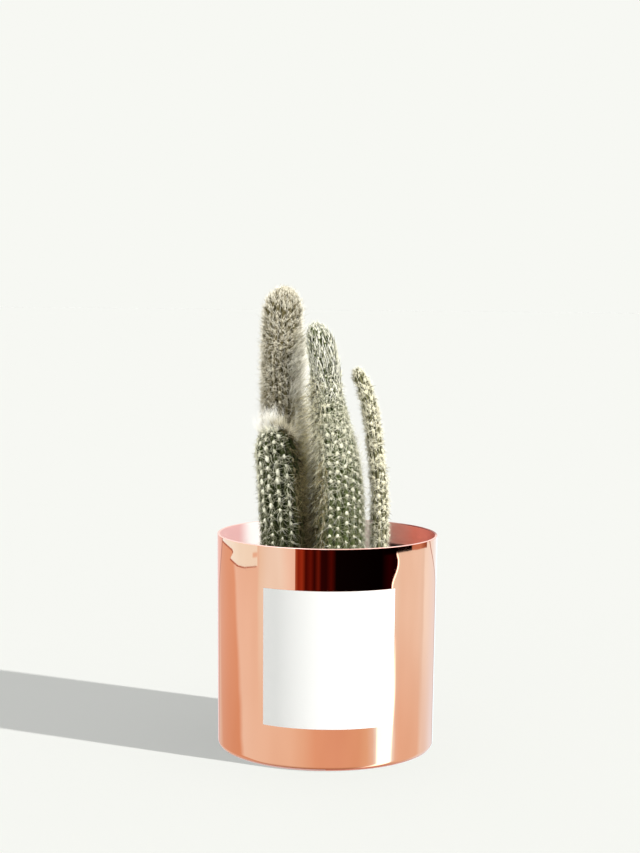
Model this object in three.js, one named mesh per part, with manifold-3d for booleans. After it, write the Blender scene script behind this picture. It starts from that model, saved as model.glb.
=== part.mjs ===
// A potted silver torch cactus. Four ribbed, bristly columns of different height and girth stand in
// potting soil, in a polished copper pot that carries a plain square paper label on its front.
// Millimetres, +Z up. -Y is the side with the label, and the origin is the middle of the underside.
import * as THREE from 'three';
import Module from 'manifold-3d';
import { mergeVertices } from 'three/addons/utils/BufferGeometryUtils.js';

const wasm = await Module();
wasm.setup();

// Copper pot: a spun cup that narrows very slightly towards its foot
const POT_HEIGHT = 116.5;
const POT_TOP_RADIUS = 60;
const POT_FOOT_RADIUS = 59;
const POT_WALL = 1.2;
const POT_BEND = 3; // outer radius of the bend between floor and wall
const POT_SIDES = 60;
const BEND_STEPS = 4;

// Paper label: square, wrapped round the front of the pot
const LABEL_SIDE = 72;
const LABEL_THICK = 0.4;
const LABEL_MIDDLE = 58.5; // height of its middle above the table
const LABEL_TURN = 1.2; // degrees that it is off the middle of the front, towards +X
const LABEL_COLUMNS = 12;

// Soil: fills the pot to about 2 cm below its rim, with a crumbly top
const SOIL_TOP = 94.5;
const SOIL_RINGS = [9, 20, 31, 42, 52]; // radii of the rings of its uneven top
const SOIL_MOUND = 1.0; // how much higher the middle is than the edge
const SOIL_CRUMB = 0.6; // how far a crumb stands above or below its place
const HOLE_SIDES = 32;
const HOLE_RISE = 12; // the cut for a stem's foot runs on this far above the soil

const TOUCH = 0.3; // clearance between pieces that rest on each other
const HOLE_ROOM = 1.2 * TOUCH; // round a foot, with what a flat-sided hole loses

// Cactus stems. Each point of a line is x, y, z and the radius over the rib crests there, from the
// soil up to the growing tip. The dome is the length of the rounded tip.
const STEMS = [
  {
    name: 'stem_back_tall',
    ribs: 16,
    turn: 4,
    dome: 14,
    line: [
      [-25.1, 16.5, 94.5, 9.3],
      [-25.4, 17, 143.5, 9.3],
      [-26.8, 17.5, 178.5, 9.2],
      [-27.6, 18, 202.5, 8.9],
      [-26.4, 18.5, 227.5, 9.8],
      [-24.6, 18.5, 249.2, 9.8],
    ],
  },
  {
    name: 'stem_front_short',
    ribs: 14,
    turn: -92.5,
    dome: 15,
    line: [
      [-23.5, -14, 94.5, 11.5],
      [-23.6, -14, 116.5, 11.5],
      [-25.2, -14, 136.5, 11.4],
      [-27.1, -13.5, 156.5, 10.9],
      [-30.4, -13, 175, 10],
    ],
  },
  {
    name: 'stem_middle',
    ribs: 19,
    turn: -90,
    dome: 13,
    line: [
      [5.6, -3, 94.5, 14],
      [5.8, -3, 120.5, 13.8],
      [5.8, -3, 140.5, 12.9],
      [4.3, -3.5, 160.5, 11.1],
      [1.6, -4, 176.5, 9.2],
      [-0.8, -4, 192.5, 7.8],
      [-2.1, -3.5, 205.5, 7.6],
      [-4.4, -3, 218.5, 7.1],
      [-8.2, -2.5, 230.5, 5.8],
    ],
  },
  {
    name: 'stem_right_slim',
    ribs: 9,
    turn: -95,
    dome: 6,
    line: [
      [28.6, 6, 94.5, 4.2],
      [28.8, 6, 123.5, 4.2],
      [27.9, 6.5, 146.5, 4],
      [25.4, 7, 166.5, 3.8],
      [23.2, 7, 182.5, 3.7],
      [20, 7.5, 194.5, 3.4],
      [15, 8, 206, 3.1],
    ],
  },
];
const RIB_DEPTH = 0.36; // of the distance from one crest to the next
const CREST_SHARE = 0.22; // half the flat of a crest, of the same distance
const RIB_START = 3.5; // the ribs run out into a round foot over this height above the soil
const BAND = 15; // height of stem that carries two spine cushions on each rib
const DOME_ANGLES = [32, 58, 78]; // degrees up the rounded tip
const LEAST_CREST = 0.35; // a crest narrower than this carries no bristle
const PLACES_ON_BAND = [0.14, 0.62]; // how far up a band its cushions sit, on every second rib
const PLACE_ON_DOME = 0.4;
const STAGGER = 0.24; // how much higher they sit on the ribs between
const UNEVENNESS = 0.03;
const FOOT_DEPTH = 26; // how far a stem stands in the soil
const FOOT_TAPER = 6;
const FOOT_END = 0.6; // radius of the blunt end, of the foot's own
const CORE_STEP = 5;

// Bristles: stiff spines from the cushions on the rib crests
const BRISTLE_LENGTH = [4.8, 6.8];
const BRISTLE_RISE = [32, 56]; // degrees between the bristle and the skin
const CROWN_RISE = [46, 66];
const CROWN_SPREAD = 50; // degrees either side of straight up the stem
const BRISTLE_BASE = 0.42; // half width where it leaves the skin
const BRISTLE_SHARE = 0.3; // half the width of its root, of the crest's width, at most
const BRISTLE_SINK = 0.14; // half the height of its root, of the band's height, at most
const BRISTLES_APART = 1.0; // least distance between two bristles
const SKIN_CLEARANCE = 1.2; // least distance to a neighbouring stem
const SOIL_CLEARANCE = 2.6;
const MOST_TRIES = 40;
const SHORTENED = 0.7; // length of a bristle that is hard to place

const degrees = THREE.MathUtils.degToRad;
const random = seededRandom(7);

const copper = new THREE.MeshStandardMaterial({ color: '#e3a17d', roughness: 0.08, metalness: 1 });
const paper = new THREE.MeshStandardMaterial({ color: '#fbfbfa', roughness: 0.6, metalness: 0 });
const earth = new THREE.MeshStandardMaterial({ color: '#3a2b21', roughness: 0.95, metalness: 0 });
const flesh = new THREE.MeshStandardMaterial({ color: '#8b9478', roughness: 0.7, metalness: 0 });

// A repeatable source of numbers between 0 and 1
function seededRandom(seed) {
  let state = seed >>> 0;
  return () => {
    state = (state + 0x6d2b79f5) >>> 0;
    let t = Math.imul(state ^ (state >>> 15), 1 | state);
    t = (t + Math.imul(t ^ (t >>> 7), 61 | t)) ^ t;
    return ((t ^ (t >>> 14)) >>> 0) / 4294967296;
  };
}

function between([low, high]) {
  return low + (high - low) * random();
}

// A closed profile of [radius, height] turned round the Z axis
function turned(profile, sides) {
  const points = profile.map(([radius, height]) => new THREE.Vector2(radius, height));
  return new THREE.LatheGeometry(points, sides).rotateX(Math.PI / 2);
}

function geometryOf(vertices, triangles) {
  const geometry = new THREE.BufferGeometry();
  geometry.setAttribute('position', new THREE.Float32BufferAttribute(vertices.flat(), 3));
  geometry.setIndex(triangles.flat());
  return geometry;
}

function solidOf(geometry) {
  const bare = geometry.clone();
  bare.deleteAttribute('normal');
  bare.deleteAttribute('uv');
  const merged = mergeVertices(bare, 1e-3);
  return new wasm.Manifold(
    new wasm.Mesh({
      numProp: 3,
      vertProperties: new Float32Array(merged.attributes.position.array),
      triVerts: new Uint32Array(merged.index.array),
    }),
  );
}

function geometryFromSolid(solid) {
  const mesh = solid.getMesh();
  const geometry = new THREE.BufferGeometry();
  geometry.setAttribute('position', new THREE.BufferAttribute(mesh.vertProperties, 3));
  geometry.setIndex(new THREE.BufferAttribute(mesh.triVerts, 1));
  return geometry;
}

function piece(name, geometry, material) {
  const mesh = new THREE.Mesh(geometry, material);
  mesh.name = name;
  geometry.computeVertexNormals();
  return mesh;
}

// Outer radius of the pot's wall at a height
function potRadius(z) {
  return THREE.MathUtils.lerp(POT_FOOT_RADIUS, POT_TOP_RADIUS, z / POT_HEIGHT);
}

// The bend from floor to wall, as a quarter circle set in from the outside by some distance
function bend(inset) {
  const radius = POT_BEND - inset;
  const centre = potRadius(POT_BEND) - POT_BEND;
  return Array.from({ length: BEND_STEPS + 1 }, (_, i) => {
    const angle = degrees(-90 + (90 * i) / BEND_STEPS);
    return [centre + radius * Math.cos(angle), POT_BEND + radius * Math.sin(angle)];
  });
}

function potGeometry() {
  return turned(
    [
      [0, 0],
      ...bend(0),
      [POT_TOP_RADIUS, POT_HEIGHT],
      [POT_TOP_RADIUS - POT_WALL, POT_HEIGHT],
      ...bend(POT_WALL).reverse(),
      [0, POT_WALL],
    ],
    POT_SIDES,
  );
}

// The label is a sheet bent round the wall. It leans with the wall's slight taper.
function labelGeometry() {
  const columns = LABEL_COLUMNS;
  const low = LABEL_MIDDLE - LABEL_SIDE / 2;
  const high = LABEL_MIDDLE + LABEL_SIDE / 2;
  const half = LABEL_SIDE / 2 / potRadius(LABEL_MIDDLE);
  const vertices = [];
  for (let i = 0; i <= columns; i += 1) {
    const angle = degrees(LABEL_TURN) - Math.PI / 2 + half * ((2 * i) / columns - 1);
    for (const z of [low, high]) {
      for (const out of [TOUCH, TOUCH + LABEL_THICK]) {
        const radius = potRadius(z) + out;
        vertices.push([radius * Math.cos(angle), radius * Math.sin(angle), z]);
      }
    }
  }
  const [lowIn, lowOut, highIn, highOut] = [0, 1, 2, 3];
  const triangles = [];
  const face = (a, b, c, d) => triangles.push([a, b, c], [a, c, d]);
  for (let i = 0; i < columns; i += 1) {
    const here = 4 * i;
    const next = here + 4;
    face(here + lowOut, next + lowOut, next + highOut, here + highOut);
    face(next + lowIn, here + lowIn, here + highIn, next + highIn);
    face(here + highOut, next + highOut, next + highIn, here + highIn);
    face(here + lowIn, next + lowIn, next + lowOut, here + lowOut);
  }
  const last = 4 * columns;
  face(lowIn, lowOut, highOut, highIn);
  face(last + lowOut, last + lowIn, last + highIn, last + highOut);
  return geometryOf(vertices, triangles);
}

// Soil: the inside of the pot less a hair's breadth, with an uneven top
function soilBody() {
  const wallTop = [potRadius(SOIL_TOP) - POT_WALL - TOUCH, SOIL_TOP - SOIL_CRUMB];
  const edge = wallTop[0];
  const outline = [...bend(POT_WALL + TOUCH), wallTop];
  const rings = outline.map(([radius, z]) => ringAt(radius, () => z));
  const uneven = (radius) => () =>
    SOIL_TOP + SOIL_MOUND * (1 - (radius / edge) ** 2) + SOIL_CRUMB * (2 * random() - 1);
  for (const radius of [...SOIL_RINGS].reverse()) rings.push(ringAt(radius, uneven(radius)));

  const vertices = rings.flat();
  const triangles = [];
  for (let ring = 0; ring < rings.length - 1; ring += 1) {
    for (let i = 0; i < POT_SIDES; i += 1) {
      const next = (i + 1) % POT_SIDES;
      const a = ring * POT_SIDES + i;
      const b = ring * POT_SIDES + next;
      triangles.push([a, b, b + POT_SIDES], [a, b + POT_SIDES, a + POT_SIDES]);
    }
  }
  const topRing = (rings.length - 1) * POT_SIDES;
  const bottomMiddle = vertices.length;
  const topMiddle = bottomMiddle + 1;
  vertices.push([0, 0, POT_WALL + TOUCH], [0, 0, SOIL_TOP + SOIL_MOUND]);
  for (let i = 0; i < POT_SIDES; i += 1) {
    const next = (i + 1) % POT_SIDES;
    triangles.push([next, i, bottomMiddle], [topRing + i, topRing + next, topMiddle]);
  }
  return solidOf(geometryOf(vertices, triangles));
}

function ringAt(radius, height) {
  return Array.from({ length: POT_SIDES }, (_, i) => {
    const angle = (2 * Math.PI * i) / POT_SIDES;
    return [radius * Math.cos(angle), radius * Math.sin(angle), height()];
  });
}

// A plain round hole that takes a stem's foot
function footHole(stem) {
  const [x, y, z, radius] = stem.line[0];
  const wide = radius + HOLE_ROOM;
  const profile = [
    [0, -FOOT_DEPTH - TOUCH],
    [FOOT_END * radius + HOLE_ROOM, -FOOT_DEPTH - TOUCH],
    [wide, FOOT_TAPER - FOOT_DEPTH - TOUCH],
    [wide, HOLE_RISE],
    [0, HOLE_RISE],
  ];
  return solidOf(turned(profile, HOLE_SIDES).translate(x, y, z));
}

function soilGeometry() {
  const holes = STEMS.map(footHole);
  return geometryFromSolid(holes.reduce((soil, hole) => soil.subtract(hole), soilBody()));
}

// The line of a stem: place, direction across and along, and crest radius at a distance up it
function stemLine(stem) {
  const points = stem.line.map(([x, y, z]) => new THREE.Vector3(x, y, z));
  const path = new THREE.CatmullRomCurve3(points, false, 'centripetal');
  const length = path.getLength();
  const girth = new THREE.CatmullRomCurve3(
    stem.line.map(([, , z, radius]) => new THREE.Vector3(radius, 0, z)),
    false,
    'centripetal',
  );
  const full = length - stem.dome;
  const at = (distance, radius) => {
    const t = path.getUtoTmapping(THREE.MathUtils.clamp(distance / length, 0, 1));
    const along = distance > RIB_START ? path.getTangent(t) : new THREE.Vector3(0, 0, 1);
    const across = new THREE.Vector3(1, 0, 0).addScaledVector(along, -along.x).normalize();
    return {
      centre: path.getPoint(t),
      along,
      across,
      forward: along.clone().cross(across),
      radius: radius ?? girth.getPoint(t).x,
    };
  };
  return { length, full, at };
}

// The middle line of each stem in short lengths, to keep bristles off the other stems
const cores = STEMS.map((stem) => {
  const { length, at } = stemLine(stem);
  const steps = Math.round(length / CORE_STEP);
  const places = Array.from({ length: steps + 1 }, (_, i) => at((length * i) / steps));
  return places.slice(1).map((place, i) => ({
    line: new THREE.Line3(places[i].centre, place.centre),
    radius: Math.max(places[i].radius, place.radius),
  }));
});
const bristles = []; // the middle lines of all bristles placed so far

function isClear(line, own) {
  if (line.end.z < SOIL_TOP + SOIL_CLEARANCE) return false;
  const offStems = cores.every(
    (core, index) =>
      index === own ||
      core.every((part) => distance(line, part.line) > part.radius + SKIN_CLEARANCE),
  );
  return offStems && bristles.every((other) => distance(line, other) > BRISTLES_APART);
}

function distance(line, other) {
  return Math.sqrt(line.distanceSqToLine3(other));
}

// A bristle's tip. It leaves the skin at a slant, any way round, and keeps clear of what is near.
function bristleTip(base, outward, upward, own, crown) {
  const sideways = upward.clone().cross(outward);
  for (let attempt = 0; attempt < MOST_TRIES; attempt += 1) {
    const rise = degrees(between(crown ? CROWN_RISE : BRISTLE_RISE));
    const spread = crown ? degrees(CROWN_SPREAD) : Math.PI;
    const heading = between([-spread, spread]);
    const reach = between(BRISTLE_LENGTH) * (attempt > MOST_TRIES / 2 ? SHORTENED : 1);
    const tip = base
      .clone()
      .addScaledVector(outward, reach * Math.sin(rise))
      .addScaledVector(upward, reach * Math.cos(rise) * Math.cos(heading))
      .addScaledVector(sideways, reach * Math.cos(rise) * Math.sin(heading));
    const line = new THREE.Line3(base, tip);
    if (isClear(line, own)) {
      bristles.push(line);
      return tip;
    }
  }
  return null;
}

// A ribbed column. Each rib has three lines of points, in its groove and on both edges of its crest,
// and the bristles rise out of the crest, so that the whole stem is one closed skin.
function stemGeometry(stem, own) {
  const { ribs, turn, dome } = stem;
  const { length, full, at } = stemLine(stem);
  const pitch = (2 * Math.PI) / ribs;
  const columns = 3 * ribs;
  const vertices = [];
  const triangles = [];
  const add = (point) => vertices.push(point.toArray()) - 1;
  const vector = (index) => new THREE.Vector3(...vertices[index]);

  const addRing = ({ centre, along, across, forward, radius }, ribbed) => {
    const groove = radius - ribbed * RIB_DEPTH * pitch * radius;
    for (let rib = 0; rib < ribs; rib += 1) {
      const middle = degrees(turn) + pitch * rib;
      for (const [shift, r] of [
        [-pitch / 2, groove],
        [-pitch * CREST_SHARE, radius],
        [pitch * CREST_SHARE, radius],
      ]) {
        const angle = middle + shift;
        add(
          centre
            .clone()
            .addScaledVector(across, r * Math.cos(angle))
            .addScaledVector(forward, r * Math.sin(angle)),
        );
      }
    }
    return { along, centre };
  };

  const foot = at(0);
  const buried = (depth, share) => ({
    ...foot,
    centre: foot.centre.clone().setZ(foot.centre.z - depth),
    radius: foot.radius * share,
  });
  const bandCount = Math.round((full - RIB_START) / BAND);
  const rings = [
    addRing(buried(FOOT_DEPTH, FOOT_END), 0),
    addRing(buried(FOOT_DEPTH - FOOT_TAPER, 1), 0),
    addRing(foot, 0),
  ];
  const firstBand = rings.length;
  for (let i = 0; i <= bandCount; i += 1) {
    rings.push(addRing(at(RIB_START + ((full - RIB_START) * i) / bandCount), 1));
  }
  const firstDome = rings.length - 1;
  const tipRadius = at(full).radius;
  for (const angle of DOME_ANGLES.map(degrees)) {
    const distance = full + dome * Math.sin(angle);
    rings.push(addRing(at(distance, tipRadius * Math.cos(angle)), 1));
  }
  const lowest = add(buried(FOOT_DEPTH, 0).centre);
  const growingTip = add(at(length).centre);

  const side = (a, b, c, d) => triangles.push([a, b, c], [a, c, d]);

  // A point on the crest between four corners, from left to right and from low to high
  const onCrest = ([a, b, c, d], x, y) => {
    const low = vector(a).lerp(vector(b), x);
    return low.lerp(vector(d).lerp(vector(c), x), y);
  };
  const outwardAt = (point, ring) => {
    const offset = point.clone().sub(ring.centre);
    return offset.addScaledVector(ring.along, -offset.dot(ring.along)).normalize();
  };
  const bristle = (corners, place, ring, crown) => {
    const height = place + UNEVENNESS * (2 * random() - 1);
    const width = onCrest(corners, 0, height).distanceTo(onCrest(corners, 1, height));
    const tall = vector(corners[0]).distanceTo(vector(corners[3]));
    if (width < LEAST_CREST) return null;
    const base = onCrest(corners, 0.5, height);
    const outward = outwardAt(base, ring);
    const upward = vector(corners[3]).sub(vector(corners[0])).normalize();
    const normal = outward.clone().addScaledVector(upward, -outward.dot(upward)).normalize();
    const tip = bristleTip(base, normal, upward, own, crown);
    if (!tip) return null;
    const across = Math.min(BRISTLE_BASE / width, BRISTLE_SHARE);
    const along = Math.min(BRISTLE_BASE / tall, BRISTLE_SINK);
    const top = add(onCrest(corners, 0.5, height + along));
    const left = add(onCrest(corners, 0.5 - across, height - along));
    const right = add(onCrest(corners, 0.5 + across, height - along));
    const point = add(tip);
    triangles.push([left, right, point], [right, top, point], [top, left, point]);
    return { top, left, right };
  };
  const crestWithOne = ([a, b, c, d], p) => {
    triangles.push([a, b, p.right], [a, p.right, p.left], [a, p.left, d], [d, p.left, p.top]);
    triangles.push([d, p.top, c], [c, p.top, p.right], [b, c, p.right]);
  };
  const crestWithTwo = ([a, b, c, d], p, q) => {
    triangles.push([a, b, p.right], [a, p.right, p.left], [a, p.left, d], [b, c, p.right]);
    triangles.push([p.left, p.top, q.left], [p.left, q.left, d], [p.right, q.right, p.top]);
    triangles.push([p.right, c, q.right], [p.top, q.right, q.left], [d, q.left, q.top]);
    triangles.push([c, q.top, q.right], [d, q.top, c]);
  };

  for (let ring = 0; ring < rings.length - 1; ring += 1) {
    for (let rib = 0; rib < ribs; rib += 1) {
      const here = ring * columns + 3 * rib;
      const nextGroove = ring * columns + ((3 * rib + 3) % columns);
      side(here, here + 1, here + 1 + columns, here + columns);
      side(here + 2, nextGroove, nextGroove + columns, here + 2 + columns);
      const crest = [here + 1, here + 2, here + 2 + columns, here + 1 + columns];
      if (ring < firstBand) {
        side(...crest);
      } else if (ring >= firstDome) {
        const p = bristle(crest, PLACE_ON_DOME, rings[ring], true);
        if (p) crestWithOne(crest, p);
        else side(...crest);
      } else {
        const raised = rib % 2 ? STAGGER : 0;
        const [p, q] = PLACES_ON_BAND.map((x) => bristle(crest, x + raised, rings[ring], false));
        if (p && q) crestWithTwo(crest, p, q);
        else if (p || q) crestWithOne(crest, p || q);
        else side(...crest);
      }
    }
  }
  const topRing = (rings.length - 1) * columns;
  for (let column = 0; column < columns; column += 1) {
    const next = (column + 1) % columns;
    triangles.push([next, column, lowest], [topRing + column, topRing + next, growingTip]);
  }
  return geometryOf(vertices, triangles);
}

const plant = new THREE.Group();
plant.add(piece('pot', potGeometry(), copper));
plant.add(piece('label', labelGeometry(), paper));
plant.add(piece('soil', soilGeometry(), earth));
STEMS.forEach((stem, own) => plant.add(piece(stem.name, stemGeometry(stem, own), flesh)));

export default plant;
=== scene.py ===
import itertools
import math

import bpy
import numpy as np
from mathutils import Matrix, Quaternion


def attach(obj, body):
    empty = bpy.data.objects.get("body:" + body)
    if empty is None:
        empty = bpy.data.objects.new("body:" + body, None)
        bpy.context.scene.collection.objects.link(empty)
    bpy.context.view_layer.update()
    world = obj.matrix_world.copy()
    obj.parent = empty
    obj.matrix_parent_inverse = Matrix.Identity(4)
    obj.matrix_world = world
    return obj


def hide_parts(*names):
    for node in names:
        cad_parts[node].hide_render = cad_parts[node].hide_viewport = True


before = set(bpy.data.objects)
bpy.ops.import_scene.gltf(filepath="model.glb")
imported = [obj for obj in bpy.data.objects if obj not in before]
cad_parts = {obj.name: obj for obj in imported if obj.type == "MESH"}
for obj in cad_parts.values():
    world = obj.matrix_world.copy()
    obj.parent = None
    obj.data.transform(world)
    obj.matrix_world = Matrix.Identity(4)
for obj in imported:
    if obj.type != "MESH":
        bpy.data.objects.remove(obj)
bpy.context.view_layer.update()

MM = 0.001


# Pot
# A straight-sided cup, drawn from thin copper sheet, with a bent foot edge and a plain cut rim.
# It is mirror polished outside and left satin inside. The plant stands in it.

POT_HEIGHT = 116.5
POT_TOP_RADIUS = 60
POT_FOOT_RADIUS = 59
POT_WALL = 1.2
POT_BEND = 3
POT_SIDES = 320
RIM_ROUNDING = 0.3
EDGE_RING = 0.25
COPPER = (0.86, 0.44, 0.285)
COPPER_DEEP = (0.82, 0.4, 0.25)
# Inside colour by degrees from the back: copper, a painted reflection near 30, painted shade past
# 45.
INSIDE_COPPER_AND_PAINTED_LIGHT = (
    (-90, (0.83, 0.5, 0.49)), (-20, (0.83, 0.5, 0.49)), (30, (1, 0.8, 0.74)),
    (38, (1, 0.62, 0.54)), (45, (1, 0.42, 0.33)), (60, (0.92, 0.24, 0.16)),
    (88, (0.42, 0.085, 0.06)), (180, (0.85, 0.27, 0.19)),
)
# Painted shade on the rim at the right back.
RIM_PAINTED_SHADE = (0.32, 0.055, 0.04)
RIM_PAINTED_SHADE_FROM_TO = (48, 92)
RIM_PAINTED_SHADE_BELOW_TOP = (0.6, 0.5)
# A painted highlight along the rim's cut edge.
RIM_PAINTED_HIGHLIGHT = (0.9, 0.6, 0.53)
# A dark patch painted low on the inside wall at the right back.
DARK_SPOT = (0.03, 0.015, 0.012)
DARK_SPOT_FROM_TO = (37, 50)
DARK_SPOT_TOP = (104.6, 105.8)
# A painted highlight on the inside at the left back.
SHEEN = (0.96, 0.93, 0.92)
SHEEN_FROM_TO = (-53, -25)


class Shade:
    """A socket in a node tree. Arithmetic on it adds Math nodes, and node() adds any other."""

    def __init__(self, tree, socket=None):
        self.tree = tree
        self.socket = socket

    def node(self, kind, settings=None, inputs=None, output=0):
        made = self.tree.nodes.new(kind)
        for name, value in (settings or {}).items():
            if name == "stops":
                elements = made.color_ramp.elements
                for place, _ in value[1:-1]:
                    elements.new(place)
                for element, (_, colour) in zip(elements, value):
                    element.color = (*colour, 1)
            else:
                setattr(made, name, value)
        for name, value in (inputs or {}).items():
            if isinstance(value, Shade):
                self.tree.links.new(value.socket, made.inputs[name])
            else:
                made.inputs[name].default_value = value
        return Shade(self.tree, made.outputs[output] if len(made.outputs) else None)

    def maths(self, operation, *values):
        return self.node("ShaderNodeMath", {"operation": operation}, dict(enumerate(values)))

    def __add__(self, other):
        return self.maths("ADD", self, other)

    def __sub__(self, other):
        return self.maths("SUBTRACT", self, other)

    def __rsub__(self, other):
        return self.maths("SUBTRACT", other, self)

    def __mul__(self, other):
        return self.maths("MULTIPLY", self, other)

    __radd__ = __add__
    __rmul__ = __mul__

    def parts(self):
        return (self.node("ShaderNodeSeparateXYZ", None, {0: self}, axis) for axis in "XYZ")

    def degrees(self, over):
        return self.maths("ARCTAN2", self, over) * math.degrees(1)

    def step(self, low, high):
        """0 below low, 1 above high, and smooth between."""
        ends = {"Value": self, "From Min": low, "From Max": high}
        return self.node("ShaderNodeMapRange", {"interpolation_type": "SMOOTHSTEP"}, ends)

    def until(self, low, high):
        """1 below low, 0 above high, and smooth between."""
        return 1 - self.step(low, high)

    def rise(self, by, low, high):
        """0 below low, by above high, and smooth between."""
        return by * self.step(low, high)

    def between(self, low, high, soft):
        """1 from low to high, and 0 outside, over a soft edge."""
        return self.step(low - soft, low + soft) * self.until(high - soft, high + soft)

    def mix(self, low, high):
        """The colour low where this is 0, and high where it is 1."""
        low, high = (c if isinstance(c, Shade) else (*c, 1) for c in (low, high))
        return self.node("ShaderNodeMix", {"data_type": "RGBA"}, {0: self, 6: low, 7: high}, 2)

    def ramp(self, stops):
        """The colour at this value, on a scale of given (value, colour) stops."""
        low, high = stops[0][0], stops[-1][0]
        share = self.node("ShaderNodeMapRange", None, {0: self, 1: low, 2: high})
        stops = [((value - low) / (high - low), colour) for value, colour in stops]
        return self.node("ShaderNodeValToRGB", {"stops": stops}, {"Fac": share}, "Color")

    def bump(self, height_mm, under=None):
        """The normal of a surface that this raises by up to height_mm."""
        inputs = {"Height": self, "Distance": height_mm * MM}
        if under:
            inputs["Normal"] = under
        return self.node("ShaderNodeBump", None, inputs)

    def noise(self, size_mm, detail=3, stretch=(1, 1, 1)):
        """Soft random values in the object's own frame, with grains of about size_mm."""
        points = self.node("ShaderNodeTexCoord", output="Object")
        scale = tuple(1 / (size_mm * MM * s) for s in stretch)
        spread = self.node("ShaderNodeMapping", None, {"Vector": points, "Scale": scale})
        inputs = {"Vector": spread, "Scale": 1, "Detail": detail}
        return self.node("ShaderNodeTexNoise", None, inputs)

    def attribute(self, name):
        return self.node("ShaderNodeAttribute", {"attribute_name": name}, None, "Fac")


def finish(name, make):
    """A material. make(shade) gives the values of its shader's sockets."""
    material = bpy.data.materials.new(name)
    material.use_nodes = True
    material.node_tree.nodes.clear()
    shade = Shade(material.node_tree)
    shader = shade.node("ShaderNodeBsdfPrincipled", None, make(shade))
    shade.node("ShaderNodeOutputMaterial", None, {"Surface": shader})
    return material


def solid(name, points_mm, faces, materials, **values):
    """A smooth mesh piece from points in mm. values are numbers for each point, kept by name."""
    mesh = bpy.data.meshes.new(name)
    mesh.from_pydata((np.asarray(points_mm) * MM).tolist(), [], [list(f) for f in faces])
    mesh.shade_smooth()
    for label, numbers in values.items():
        layer = mesh.attributes.new(label, "FLOAT", "POINT")
        layer.data.foreach_set("value", np.asarray(numbers, np.float32))
    for material in materials:
        mesh.materials.append(material)
    piece = bpy.data.objects.new(name, mesh)
    bpy.context.scene.collection.objects.link(piece)
    return piece


def tube_faces(rings, sides):
    """Faces between rings of points, and fans to a first and a last point that follow them."""
    faces = []
    first, last = rings * sides, rings * sides + 1
    top = (rings - 1) * sides
    for a in range(sides):
        b = (a + 1) % sides
        for low in range(0, top, sides):
            faces.append([a + low, b + low, b + low + sides, a + low + sides])
        faces += [[b, a, first], [top + a, top + b, last]]
    return faces


def whole_turn(sides):
    return 2 * np.pi * np.arange(sides) / sides


def level_ring(radius, height, turn):
    return np.column_stack([radius * np.cos(turn), radius * np.sin(turn), height + 0 * turn])


def spun(profile, sides):
    """A closed turned shape. The profile runs from the axis, round the outside, to the axis."""
    turn = whole_turn(sides)
    rings = [level_ring(radius, height, turn) for radius, height in profile[1:-1]]
    ends = [[0, 0, profile[0][1]], [0, 0, profile[-1][1]]]
    return np.vstack([*rings, ends]), tube_faces(len(rings), sides)


def pot_radius(z):
    return POT_FOOT_RADIUS + (POT_TOP_RADIUS - POT_FOOT_RADIUS) * z / POT_HEIGHT


def arc(centre, radius, start, stop, steps=6):
    turn = np.radians(np.linspace(start, stop, steps))
    return np.column_stack([centre[0] + radius * np.cos(turn), centre[1] + radius * np.sin(turn)])


def foot_bend(inset, steps=16):
    """The quarter circle from floor to wall, set in from the outside by inset."""
    centre = (pot_radius(POT_BEND) - POT_BEND, POT_BEND)
    return arc(centre, POT_BEND - inset, -90, 0, steps)


def wall_heights(low, high, steps=20):
    return np.linspace(low, high, steps)[1:-1]


def pot_profile():
    rim = POT_HEIGHT - RIM_ROUNDING
    rise = np.r_[POT_BEND + EDGE_RING, wall_heights(POT_BEND, rim), rim - EDGE_RING]
    outer = (pot_radius(rim) - RIM_ROUNDING, rim)
    inner = (pot_radius(rim) - POT_WALL + RIM_ROUNDING, rim)
    outside = [foot_bend(0), np.column_stack([pot_radius(rise), rise])]
    cut = [arc(outer, RIM_ROUNDING, 0, 90), arc(inner, RIM_ROUNDING, 90, 180)]
    inside = [np.column_stack([pot_radius(rise) - POT_WALL, rise])[::-1], foot_bend(POT_WALL)[::-1]]
    return np.vstack([[0, 0], *outside, *cut, *inside, [0, POT_WALL]])


def round_pot(shade):
    """The angle in degrees from the back of the pot, towards +X, and the height in mm."""
    x, y, z = shade.node("ShaderNodeTexCoord", output="Object").parts()
    return x.degrees(y), z * (1 / MM)


def polished_copper(shade):
    tone = shade.noise(22, detail=2, stretch=(1, 1, 4)).step(0.35, 0.7)
    marks = shade.noise(3.5, detail=5, stretch=(1, 1, 30))
    waves = shade.noise(26, detail=1.5, stretch=(1, 1, 2.6))
    return {
        "Base Color": tone.mix(COPPER, COPPER_DEEP),
        "Metallic": 1,
        "Roughness": 0.008 + 0.014 * marks,
        "Normal": marks.bump(0.0004, waves.bump(0.03)),
    }


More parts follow.
